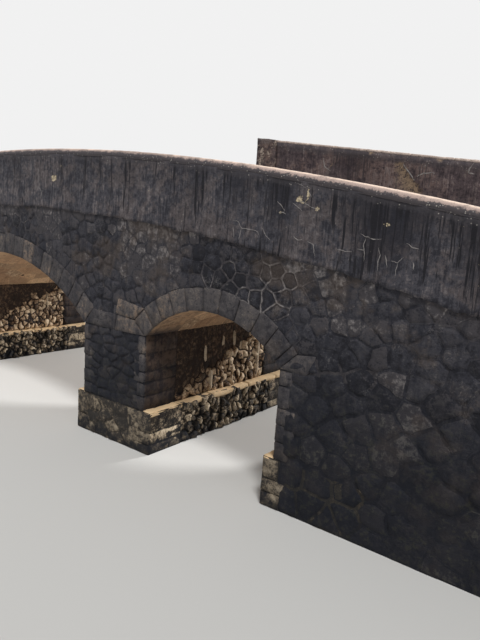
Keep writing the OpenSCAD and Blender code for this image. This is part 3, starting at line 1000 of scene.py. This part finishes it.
# Barrels
for arch_name, arch in arches.items():
    half_span = arch.radius * math.sin(arch.half_angle) + barrel_recess
    rise = arch.rise + barrel_recess
    radius = (half_span ** 2 + rise ** 2) / (2 * rise)
    reach = 2 * math.atan(rise / half_span) * radius
    stone_field("vault_facing_" + arch_name, Soffit(arch, radius, spring_z + rise - radius),
                *panel(-reach, reach, -inner_y, inner_y), "vault_stone", soffit, 500 + len(arch_name),
                stretch=0.62, pointing=lambda u, v: 0.35 + 0.6 * drift(u, v, 8), crest=(0.008, 0.014),
                stone=(0.010, 0.018), steps=ribbon_steps(0.014), tones=(0.1, 0.8),
                smear=lambda u, v: 0.4 + 0.6 * drift(u * 2.2, v * 0.4, 3), unevenness=0.35, sunk=0.15)


# Runs of lime down the arch sides

def lime_runs(name, face, runs, seed):
    """Thick pale runs that water has left, each with its place across the
    face, its top, its foot and its width."""
    bm = bmesh.new()
    tones = bm.verts.layers.float.new("tone")
    for number, (u, top, foot, width) in enumerate(runs):
        run = sheet(6, max(6, round((top - foot) / 0.05)))
        for v in run.verts:
            t, side = 0.5 - v.co.y, v.co.x * 2
            at_v = top + (foot - top) * t
            spread = (0.55 + 0.45 * math.sin(math.pi * t) + 0.30 * drift(at_v * 5, number, seed)
                      + 0.35 * t ** 6)
            at_u = u + side * width / 2 * spread + 0.03 * drift(at_v * 2.5, number, seed + 2)
            lift = (0.066 * (1 - side ** 2) ** 0.5 * (1 - (2 * t - 1) ** 8)
                    + 0.010 * drift(at_v * 13, side * 3, number))
            v.co = face.place(Vector((at_u, at_v, lift)))
        join(bm, run)
    for v in bm.verts:
        v[tones] = 0.5 + 0.5 * drift(v.co.y * 6, v.co.z * 6)
    put(bm, name, "vault_stone", lime_run)


# The runs that the photograph shows inside the right arch, on the pier
seen_runs = ((-0.68, 1.96, 1.56, 0.05), (0.32, 2.18, 1.80, 0.055), (-0.08, 2.10, 1.86, 0.04),
             (1.31, 1.96, 0.87, 0.13), (-0.47, 1.36, 0.87, 0.13))
x, looks, _ = arch_sides["pier_outer_right"]
lime_runs("lime_runs_pier_outer_right", cross_face(x, looks), seen_runs, 1)
for number, wall in enumerate((
        "abutment_right", "pier_inner_right", "pier_inner_left", "pier_outer_left", "abutment_left")):
    chance = random.Random(460 + number)
    x, looks, _ = arch_sides[wall]
    runs = [(chance.uniform(-1.4, 1.4), top, chance.uniform(0.88, top - 0.3), chance.uniform(0.04, 0.10))
            for top in (chance.uniform(1.5, 2.2) for _ in range(5))]
    lime_runs("lime_runs_" + wall, cross_face(x, looks), runs, 10 + number)


# Render on the parapets and tall walls

class Coat:
    """A rough coat of render that hangs from top to foot and thickens downwards."""

    def __init__(self, y, looks, x1, x2, top, foot, seed, thin=0.010, thick=0.040, patches=()):
        self.y, self.looks, self.x1, self.x2, self.patches = y, looks, x1, x2, patches
        self.top, self.foot, self.seed, self.thin, self.thick = top, foot, seed, thin, thick

    def lift(self, x, z):
        """How far the coat stands off its wall."""
        t = clamp((self.top(x) - z) / (self.top(x) - self.foot(x)))
        wave = (0.007 * drift(x * 1.3, z * 1.3, self.seed) + 0.005 * drift(x * 5, z * 4, self.seed)
                + 0.003 * drift(x * 14, z * 14, self.seed))
        body, rolled = self.thin + (self.thick - self.thin) * t ** 2.6, 0.012 * clamp(1 - t * 25)
        return max(0.003, body + wave + rolled - 0.007 * self.bare(x, z))

    def bare(self, x, z):
        """1 in the middle of a patch that has lost its skin, and 0 well outside it."""
        return max([clamp(1.5 - math.hypot((x - at_x) / reach_x, (z - at_z) / reach_z))
                    for at_x, at_z, reach_x, reach_z in self.patches], default=0)

    def soot(self, x):
        """Where dark run-off hangs from the coping: more on some stretches than on others."""
        return clamp(0.35 + 0.9 * drift(x * 0.8, self.seed) + 0.35 * drift(x * 2.9, self.seed))

    def piece(self, name, slot, finish, cell=0.075):
        bm = sheet(round((self.x2 - self.x1) / cell), 20)
        high, soot, bare = number_layers(bm, "high", "soot", "bare")
        for v in bm.verts:
            x, t = self.x1 + (v.co.x + 0.5) * (self.x2 - self.x1), 0.5 - v.co.y
            z = self.top(x) + (self.foot(x) - self.top(x)) * t
            v.co = Vector((x, self.y + self.looks * self.lift(x, z), z))
            v[high], v[soot], v[bare] = 1 - t, self.soot(x), self.bare(x, z)
        for v in extrude_border(bm):
            v.co.y = self.y - self.looks * bed / 2
        if self.looks == 1:
            bmesh.ops.reverse_faces(bm, faces=bm.faces)
        put(bm, name, slot, finish)

    def veins(self, name, slot, lines, width=0.016):
        """Thin raised lines of lime that grew out of cracks, each through its given places."""
        bm = bmesh.new()
        tones = bm.verts.layers.float.new("tone")
        for number, points in enumerate(lines):
            stops = [Vector(p) for p in points]
            lengths = [(q - p).length for p, q in zip(stops, stops[1:])]
            line = sheet(max(4, round(sum(lengths) / 0.025)), 2)
            for v in line.verts:
                gone, k = (v.co.x + 0.5) * sum(lengths) * 0.9999, 0
                while gone > lengths[k]:
                    gone, k = gone - lengths[k], k + 1
                along = (stops[k + 1] - stops[k]).normalized()
                at = stops[k] + along * gone
                taper = 0.45 + 0.55 * math.sin(math.pi * (v.co.x + 0.5))
                wobble = 0.012 * drift(at.x * 22, at.y * 22, number)
                across = v.co.y * width * taper * (1 + 0.6 * drift(at.x * 40, at.y * 40, 5)) + wobble
                at += Vector((-along.y, along.x)) * across
                rise = 0.006 * taper if abs(v.co.y) < 0.1 else -0.002
                v.co = Vector((at.x, self.y + self.looks * (self.lift(at.x, at.y) + rise), at.y))
            join(bm, line)
        for v in bm.verts:
            v[tones] = 0.5 + 0.5 * drift(v.co.x * 5, v.co.z * 5)
        bmesh.ops.recalc_face_normals(bm, faces=bm.faces)
        put(bm, name, slot, vein)


class TallCoat(Coat):
    """The tall walls' coat on the road's side, with the wedge where its skin is rubbed off."""

    # The wedge's tip, and the heights at which it begins and ends
    tip_x, tip_z, top_z, foot_z = 8.06, 6.18, 6.22, 5.3

    def bare(self, x, z):
        down = self.tip_z - z
        behind = self.tip_x + down * 0.86 - abs(x)
        reach = 0.16 + 0.75 * down
        wedge = clamp(1.15 - behind / reach) if behind > 0 else clamp(1 + behind / 0.04)
        wedge *= clamp((self.top_z - z) / 0.06) * clamp((z - self.foot_z) / 0.25)
        return max(super().bare(x, z), wedge)


class RoadsideCoat(Coat):
    """The near parapet's outer coat, with its dark stretches where the photograph shows them."""

    # Each stretch's middle along the road, its reach and its depth
    stretches = (7.25, 0.35, 0.7), (8.10, 0.25, 1.1), (9.80, 0.5, 1.4), (11.3, 0.6, 0.9), (6.3, 0.4, 0.5)

    def soot(self, x):
        hangs = sum(depth * math.exp(-((x - at) / reach) ** 2) for at, reach, depth in self.stretches)
        own = 0.7 * drift(x * 0.8, self.seed) * (abs(x - 8.2) > 2.6)
        return clamp(0.26 + own + hangs + 0.3 * drift(x * 2.9, 4), 0.0, 1.3)


# Places that have lost the render's skin, each with its middle and its reach both ways
bare_patches = (
    (8.41, 4.98, 0.060, 0.05), (8.50, 4.95, 0.045, 0.03), (8.56, 5.05, 0.03, 0.07), (8.66, 4.90, 0.05, 0.012),
    (8.73, 4.85, 0.04, 0.015), (8.08, 4.76, 0.05, 0.02), (8.47, 5.10, 0.05, 0.010),
    (9.83, 4.67, 0.07, 0.035), (8.42, 5.17, 0.07, 0.012), (-5.3, 5.2, 0.10, 0.06), (-5.1, 5.05, 0.04, 0.08),
    (2.2, 5.35, 0.10, 0.06), (12.7, 4.4, 0.12, 0.09), (-10.4, 4.1, 0.12, 0.08),
)
tall_patches = [(end * x, z, reach_x, reach_z) for end, _ in both_ends for x, z, reach_x, reach_z in (
    (6.44, 6.15, 0.05, 0.04), (7.42, 6.39, 0.05, 0.04), (8.94, 6.17, 0.06, 0.05), (10.9, 5.6, 0.16, 0.10),
    (12.4, 5.2, 0.10, 0.14))]
# Cracks lined with lime, each by the places it passes through
lime_cracks = (
    ((7.18, 4.62), (7.31, 4.62), (7.38, 4.51), (7.55, 4.50), (7.72, 4.47), (7.72, 4.38)),
    ((7.21, 4.53), (7.24, 4.36)), ((7.38, 4.51), (7.35, 4.33)), ((7.79, 4.53), (7.87, 4.41), (7.96, 4.35)),
    ((8.37, 4.44), (8.44, 4.38), (8.53, 4.40)), ((8.62, 4.37), (8.72, 4.33), (8.77, 4.14)),
    ((9.12, 4.29), (9.25, 4.27), (9.35, 4.27)), ((9.45, 4.52), (9.54, 4.49), (9.65, 4.46), (9.76, 4.47)),
    ((9.54, 4.49), (9.51, 4.37), (9.53, 4.31), (9.55, 4.14)), ((9.42, 4.31), (9.53, 4.31)),
    ((9.73, 4.35), (9.77, 4.26), (9.75, 4.16), (9.75, 4.04)), ((9.84, 4.26), (9.89, 4.10)),
    ((9.93, 4.19), (10.02, 4.17), (10.10, 4.26)), ((10.02, 4.17), (10.01, 3.99)),
    ((10.11, 4.44), (10.21, 4.38), (10.29, 4.37)), ((10.23, 4.20), (10.25, 4.10)),
    ((8.35, 5.22), (8.43, 5.19), (8.51, 5.15)), ((8.56, 5.11), (8.62, 5.01)),
    ((8.41, 4.97), (8.61, 4.88), (8.74, 4.84)),
    ((8.31, 4.93), (8.38, 4.88), (8.48, 4.81)), ((8.03, 4.95), (8.18, 4.81)),
    ((8.07, 4.77), (8.13, 4.79), (8.2, 4.76)),
    ((-6.9, 4.75), (-6.7, 4.62), (-6.72, 4.45)), ((-9.1, 4.35), (-8.9, 4.22), (-8.6, 4.20)),
    ((1.6, 5.2), (1.75, 5.05), (1.72, 4.92)), ((-2.4, 5.1), (-2.2, 5.0), (-2.0, 5.02)),
    ((12.1, 4.0), (12.3, 3.9), (12.3, 3.7)),
)


def ragged_foot(seed):
    """The render's broken lower edge."""
    return lambda x: deck_z(x, render_depth + 0.05 * drift(x * 0.8, seed) + 0.035 * drift(x * 3.1, seed)
                            + 0.024 * drift(x * 11, seed))


def under_coping(x):
    return deck_z(x, coping_h - 0.02)


def on_road(x):
    return deck_z(x, road_depth + 0.04)


near_coat = RoadsideCoat(
    -wall_y, -1, -road_end, road_end, under_coping, ragged_foot(1), 1, patches=bare_patches)
near_coat.piece("render_near_outer", "grey_render", grey_render, 0.04)
near_coat.veins("lime_cracks_near", "grey_render", lime_cracks)
Coat(-road_y, 1, -road_end, road_end, under_coping, on_road, 2, thick=0.014).piece(
    "render_near_inner", "grey_render", grey_render)
Coat(wall_y, 1, -pilaster_x, pilaster_x, under_coping, ragged_foot(3), 3).piece(
    "render_far_outer", "grey_render", grey_render)
Coat(road_y, -1, -pilaster_x, pilaster_x, under_coping, on_road, 4, thick=0.014).piece(
    "render_far_inner", "grey_render", grey_render)


def tall_top(x):
    return tall_z(x) - tall_coping_h


def post_foot(x):
    return deck_z(pilaster_x, road_depth + 0.08)


# The same in the right tall wall, and mirrored in the left one
tall_cracks = (((8.16, 6.10), (8.24, 6.00), (8.37, 5.86), (8.44, 5.76)),
               ((8.49, 5.84), (8.62, 5.91), (8.70, 5.90), (8.78, 5.93), (8.86, 5.90)),
               ((9.62, 6.10), (9.54, 5.98), (9.52, 5.90), (9.65, 5.88)),
               ((11.2, 5.7), (11.3, 5.58), (11.4, 5.5), (11.35, 5.2)), ((6.2, 6.3), (6.25, 6.1), (6.4, 6.0)))
for end, end_name in both_ends:
    wall_span = sorted((end * tall_wall_x, end * road_end))
    post_span = sorted((end * pilaster_x, end * tall_wall_x))
    Coat(wall_y, 1, *wall_span, tall_top, ragged_foot(6), 5 + end, 0.004, 0.034).piece(
        "tall_render_outer_" + end_name, "brown_render", brown_render)
    Coat(wall_y, 1, *post_span, post_foot, ragged_foot(6), 5 + end, 0.014, 0.034).piece(
        "post_base_render_" + end_name, "brown_render", brown_render)
    road_coat = TallCoat(road_y, -1, *wall_span, tall_top, on_road, 8 + end, 0.008, 0.014, tall_patches)
    road_coat.piece("tall_render_inner_" + end_name, "brown_render", brown_render)
    road_coat.veins("lime_cracks_tall_" + end_name, "brown_render",
                    [[(end * x, z) for x, z in line] for line in tall_cracks], 0.035)


# Copings

def rounded_coping(name, face, end_x, replaced):
    """The mortar coping that runs over a parapet from end to end."""
    rows = 18
    bm = sheet(round(2 * end_x / 0.06), rows)
    low, fresh = number_layers(bm, "low", "fresh")
    centre = face * (wall_y + road_y) / 2
    for v in bm.verts:
        x, s = v.co.x * 2 * end_x, v.co.y + 0.5
        around = clamp((s * rows - 1) / (rows - 2)) * math.pi
        across, rise = -math.cos(around), math.sin(around)
        y = coping_half_width * math.copysign(abs(across) ** 0.5, across)
        depth = coping_h * (1 - clamp(rise) ** 0.42)
        if s < 0.5 / rows or s > 1 - 0.5 / rows:
            y *= 0.84
        wave = 0.0025 * drift(x * 1.2, y * 6, depth * 9) + 0.0035 * drift(x * 12, y * 16, depth * 24)
        chip = 0.014 * clamp(drift(x * 4, y * 8, 6) * 2 - 0.8)
        v[low] = depth / coping_h
        v[fresh] = clamp(0.35 + 0.9 * drift(x * 0.3, face) + 0.7 * clamp((face * -x - 7.6) / 1.4) * (x > 0))
        v.co = Vector((x, centre + y * (1 + wave * 1.2), deck_z(x, depth + chip) + wave))
    bmesh.ops.holes_fill(bm, edges=[e for e in bm.edges if e.is_boundary], sides=0)
    bmesh.ops.recalc_face_normals(bm, faces=bm.faces)
    put(bm, name, "coping_stone", coping, replaced)


rounded_coping("coping_cap_near", near, road_end, "coping_near")
rounded_coping("coping_cap_far", far, pilaster_x, "coping_far")


def tall_copings(name, end, seed, replaced):
    """Thin coping slabs on a tall wall, broken here and there."""
    chance = random.Random(seed)
    bm = bmesh.new()
    x = tall_wall_x
    half = (wall_y - road_y) / 2 + 0.015
    while x < road_end - 0.05:
        length = min(chance.uniform(0.45, 1.3), road_end - x)
        trim = chance.uniform(0.0, 0.05) if chance.random() < 0.35 else 0.0
        sink = chance.uniform(0.0, 0.006)

        def place(p):
            return Vector((end * p.x, (wall_y + road_y) / 2 + p.y, tall_z(p.x) + p.z))
        rough_block(bm, (x, -half + trim, -tall_coping_h - 0.01), (x + length - 0.008, half, -sink), place,
                    chance.random() * 50, cell=0.11, arris=0.012, rough=0.009)
        x += length
    # Paler towards each slab's top, as a painted sunlit line along the wall's top.
    low = bm.verts.layers.float.new("low")
    for v in bm.verts:
        v[low] = 0.35 * clamp((tall_z(v.co.x) - v.co.z) / tall_coping_h)
    put(bm, name, "coping_stone", old_coping, replaced)


def pilaster(name, end, seed, replaced):
    """The broad rendered post that ends a tall wall."""
    bm = bmesh.new()
    foot = deck_z(pilaster_x, road_depth + 0.10)

    def place(p):
        top_cut = (p.x - pilaster_x) * tall_wall_slope * clamp((p.z - foot) / (tall_wall_z - foot))
        return Vector((end * p.x, p.y, p.z - top_cut))
    rough_block(bm, (pilaster_x, pilaster_y, foot), (tall_wall_x, wall_y + 0.012, tall_wall_z), place, seed,
                cell=0.07, arris=0.020, rough=0.012)
    high, bare = number_layers(bm, "high", "bare")
    for v in bm.verts:
        v[high] = clamp((v.co.z - foot) / (tall_wall_z - foot))
        v[bare] = clamp(0.30 + 1.4 * drift(v.co.x * 3.5, v.co.y * 3.5, v.co.z * 3.5))
    put(bm, name, "brown_render", flaking_render, replaced)


for end, end_name in both_ends:
    tall_copings("tall_coping_slabs_" + end_name, end, 600 + end, "tall_coping_" + end_name)
    pilaster("pilaster_post_" + end_name, end, 620 + end, "pilaster_" + end_name)


# Road and the cut ends

def road_z(x, y):
    """Height of the road's surface, with two shallow wheel tracks."""
    track = math.exp(-((abs(y) - 0.72) / 0.20) ** 2)
    return deck_z(x, road_depth) + 0.018 - 0.016 * track


def road_skin(name):
    """The worn road surface."""
    bm = sheet(300, 44)
    for v in bm.verts:
        x, y = v.co.x * 2 * road_end, v.co.y * 2 * road_y
        lump = 0.012 * drift(x * 1.1, y * 1.3, 2) + 0.006 * drift(x * 6, y * 6, 2)
        v.co = Vector((x, y, road_z(x, y) + lump))
    put(bm, name, "road_surface", road)


def road_pebbles(name, count, seed):
    """Loose stones, thickest along the foot of the parapets."""
    chance = random.Random(seed)
    bm = bmesh.new()
    tones = bm.verts.layers.float.new("tone")
    for _ in range(count):
        x = chance.uniform(-road_end + 0.1, road_end - 0.1)
        y = math.copysign(road_y - 0.05 - 1.9 * chance.random() ** 2.2, chance.random() - 0.5)
        size, tone = chance.uniform(0.015, 0.055), chance.random()
        turn = (Matrix.Rotation(chance.uniform(0, 3.1), 4, "Z")
                @ Matrix.Rotation(chance.uniform(-0.3, 0.3), 4, "X"))
        shape = Matrix.Diagonal((1, chance.uniform(0.6, 0.95), chance.uniform(0.4, 0.7), 1))
        placing = Matrix.Translation((x, y, road_z(x, y))) @ turn @ shape
        made = bmesh.ops.create_icosphere(bm, subdivisions=1, radius=size, matrix=placing)
        for v in made["verts"]:
            v.co += noise.noise_vector(v.co * 30) * size * 0.3
            v[tones] = tone
    put(bm, name, "road_surface", rubble)


road_skin("road_gravel")
road_pebbles("road_pebbles", 700, 31)

top = deck_z(road_end, parapet_h)
for end, end_name in both_ends:
    face = cross_face(end * road_end, end)
    for side, side_name in both_faces:
        u1, u2 = sorted((end * side * inner_y, end * side * wall_y))
        stone_field("wall_end_%s_%s" % (end_name, side_name), face, *panel(u1, u2, 0, top), "rubble_stone",
                    rubble, 700 + 3 * end + side, stretch=1.3, pointing=even(0.1))
    stone_field("fill_end_" + end_name, face, *panel(-inner_y, inner_y, 0, top), "earth_fill", earth,
                720 + end, gap=even(0.24), stretch=1.2, pointing=lambda u, v: 0.5 + drift(u * 2, v * 2, 1),
                crest=(0.004, 0.030), stone=(0.004, 0.040), steps=ribbon_steps(0.045))

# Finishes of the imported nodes, by their slots
for node in nodes.values():
    for material_slot in node.material_slots:
        given = material_slot.material.name.split(".")[0] if material_slot.material else ""
        material_slot.link = "OBJECT"
        material_slot.material = slot_finish.get(given, rubble)


# Stage, light and camera

floor_reach, floor_colour = 400.0, (204, 203, 200)
seen_strength, lighting_strength = 0.88, 0.45
suns = {"key": ((0.42, -0.42, 0.95), 2.0, 12), "back": ((0.30, 1.00, 0.56), 2.8, 5)}


def stage_floor():
    """The plain pale floor."""
    bm = bmesh.new()
    bmesh.ops.create_grid(bm, x_segments=1, y_segments=1, size=floor_reach)
    pale = bpy.data.materials.new("pale_floor")
    surface = Nodes(pale)
    surface.feed(surface.tree.nodes["Principled BSDF"], {"Base Color": paint(floor_colour), "Roughness": 0.9})
    floor = add_object("floor", bm, pale)


def studio_light():
    """A white sky, stronger where it is seen or mirrored than where it lights, and two
    suns, each with the way to it, its power and its softness in degrees."""
    world = bpy.data.worlds.new("studio")
    bpy.context.scene.world = world
    sky = Nodes(world)
    rays = [sky.node("LightPath", out=ray) for ray in ("Is Camera Ray", "Is Glossy Ray")]
    seen = sky.node("Math", {"operation": "MAXIMUM"}, rays)
    strength = sky.node("MapRange", {}, {"Value": seen, "To Min": lighting_strength, "To Max": seen_strength})
    sky.feed(sky.tree.nodes["Background"], {"Color": (1, 1, 1, 1), "Strength": strength})
    for name, (towards, power, softness) in suns.items():
        lamp = bpy.data.lights.new(name, "SUN")
        lamp.energy, lamp.angle = power, math.radians(softness)
        lamp_object = bpy.data.objects.new(name, lamp)
        lamp_object.rotation_euler = Vector(towards).to_track_quat("Z", "Y").to_euler()
        bpy.context.scene.collection.objects.link(lamp_object)


def set_camera():
    camera = bpy.data.cameras.new("camera")
    camera.sensor_width = sensor_size
    camera.lens = focal_pixels / image_height * sensor_size
    camera.clip_end = 1000.0
    holder = bpy.data.objects.new("camera", camera)
    turn = (Matrix.Rotation(camera_yaw, 4, "Z") @ Matrix.Rotation(math.pi / 2 - camera_pitch, 4, "X")
            @ Matrix.Rotation(camera_roll, 4, "Z"))
    holder.matrix_world = Matrix.Translation(camera_place) @ turn
    bpy.context.scene.collection.objects.link(holder)
    bpy.context.scene.camera = holder


stage_floor()
studio_light()
set_camera()
bpy.context.scene.view_settings.view_transform = "Standard"
